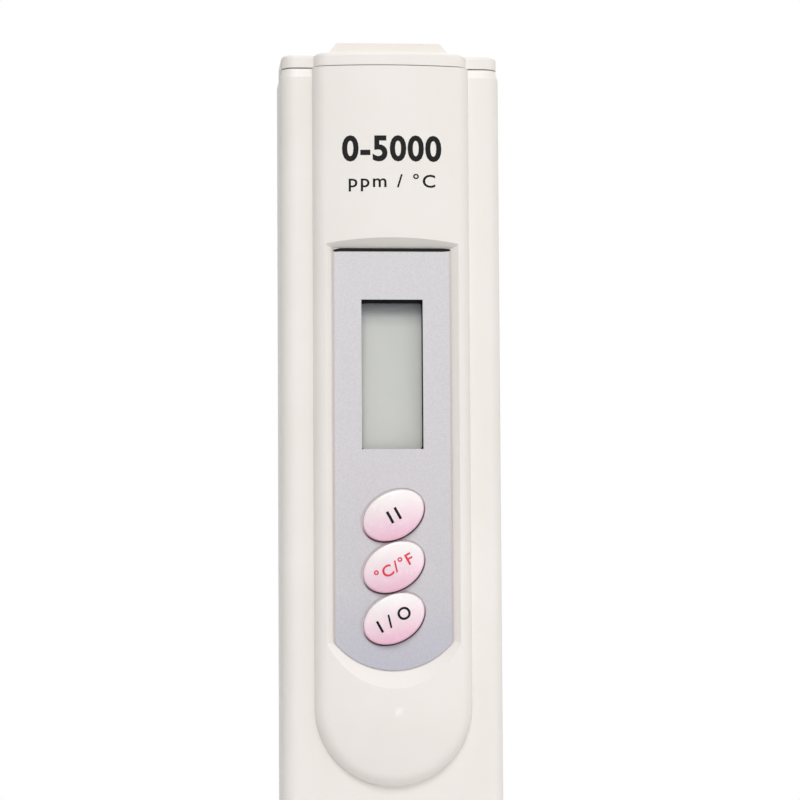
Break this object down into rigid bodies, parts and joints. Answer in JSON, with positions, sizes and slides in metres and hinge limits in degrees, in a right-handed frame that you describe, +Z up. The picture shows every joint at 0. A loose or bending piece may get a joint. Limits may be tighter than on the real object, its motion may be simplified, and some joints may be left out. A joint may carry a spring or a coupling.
{
  "type": "total dissolved solids meter",
  "caption": "Pen-type water tester with a raised front tongue, small display, three slanted oval buttons, pull-out battery drawer, pocket clip and a cap over its electrodes.",
  "frame": {"origin": "centre of the protective cap's flat end, which the meter stands on", "axes": "+Z up along the pen towards the battery drawer, +X to the viewer's right, the display faces -Y"},
  "size_m": [0.031, 0.023, 0.155],
  "materials": {
    "shell_plastic": "satin warm-white moulded ABS",
    "label_film": "flat grey printed film",
    "button_plastic": "smooth pale pink moulded plastic",
    "clear_plastic": "clear acrylic pane",
    "polariser_film": "grey-green polariser film",
    "reflector_film": "matt reflector film",
    "display_glass": "clear glass",
    "inner_plastic": "white moulded plastic",
    "zebra_rubber": "layered conductive elastomer",
    "board_laminate": "green solder mask on glass laminate",
    "black_resin": "black moulded resin",
    "plunger_plastic": "black plunger",
    "trimmer_blue": "blue moulded trimmer housing",
    "rotor_white": "pale rotor with a cross slot",
    "crystal_can": "drawn can",
    "capacitor_can": "aluminium can",
    "ceramic_body": "tan ceramic chip",
    "cell_steel": "nickel-plated steel",
    "spring_metal": "plated spring leaf",
    "pin_metal": "polished titanium pins",
    "sensor_sleeve": "thin steel sleeve",
    "wire_cover": "insulated leads",
    "screw_steel": "zinc-plated steel"
  },
  "bodies": {
    "housing": {"front_shell": "shell_plastic", "back_shell": "shell_plastic", "pocket_clip": "shell_plastic", "probe_block": "shell_plastic", "front_label": "label_film", "display_window": "clear_plastic", "display_polariser": "polariser_film", "display_reflector": "reflector_film", "display_front_glass": "display_glass", "display_rear_glass": "display_glass", "display_frame": "inner_plastic", "zebra_strips": "zebra_rubber", "circuit_board": "board_laminate", "controller_blob": "black_resin", "amplifier_chips": "black_resin", "resistors": "black_resin", "hold_switch": "black_resin", "temp_switch": "black_resin", "power_switch": "black_resin", "trimmer_body": "trimmer_blue", "clock_crystal": "crystal_can", "electrolytic_capacitor": "capacitor_can", "ceramic_capacitors": "ceramic_body", "battery_bridge": "spring_metal", "battery_contacts": "spring_metal", "electrode_pins": "pin_metal", "temperature_sensor": "sensor_sleeve", "probe_wires": "wire_cover", "case_screws": "screw_steel", "board_screws": "screw_steel", "clip_screw": "screw_steel"},
    "hold_key": {"hold_button": "button_plastic", "hold_plunger": "plunger_plastic"},
    "temp_key": {"temp_button": "button_plastic", "temp_plunger": "plunger_plastic"},
    "power_key": {"power_button": "button_plastic", "power_plunger": "plunger_plastic"},
    "drawer": {"battery_drawer": "shell_plastic", "button_cells": "cell_steel"},
    "cap": {"probe_cap": "shell_plastic"},
    "trimmer": {"trimmer_rotor": "rotor_white"}
  },
  "joints": [
    {"name": "hold_press", "type": "slide", "parent": "housing", "child": "hold_key", "axis": [0, 1, 0], "range_m": [0, 0.0004], "stiffness_N_per_m": 1500},
    {"name": "temp_press", "type": "slide", "parent": "housing", "child": "temp_key", "axis": [0, 1, 0], "range_m": [0, 0.0004], "stiffness_N_per_m": 1500},
    {"name": "power_press", "type": "slide", "parent": "housing", "child": "power_key", "axis": [0, 1, 0], "range_m": [0, 0.0004], "stiffness_N_per_m": 1500},
    {"name": "drawer_slide", "type": "slide", "parent": "housing", "child": "drawer", "axis": [0, 0, 1], "range_m": [0, 0.03]},
    {"name": "cap_slide", "type": "slide", "parent": "housing", "child": "cap", "axis": [0, 0, -1], "range_m": [0, 0.045]},
    {"name": "trimmer_turn", "type": "hinge", "parent": "housing", "child": "trimmer", "pos_m": [0, 0.002, 0.0923], "axis": [0, 1, 0], "range_deg": [-120, 120]}
  ]
}
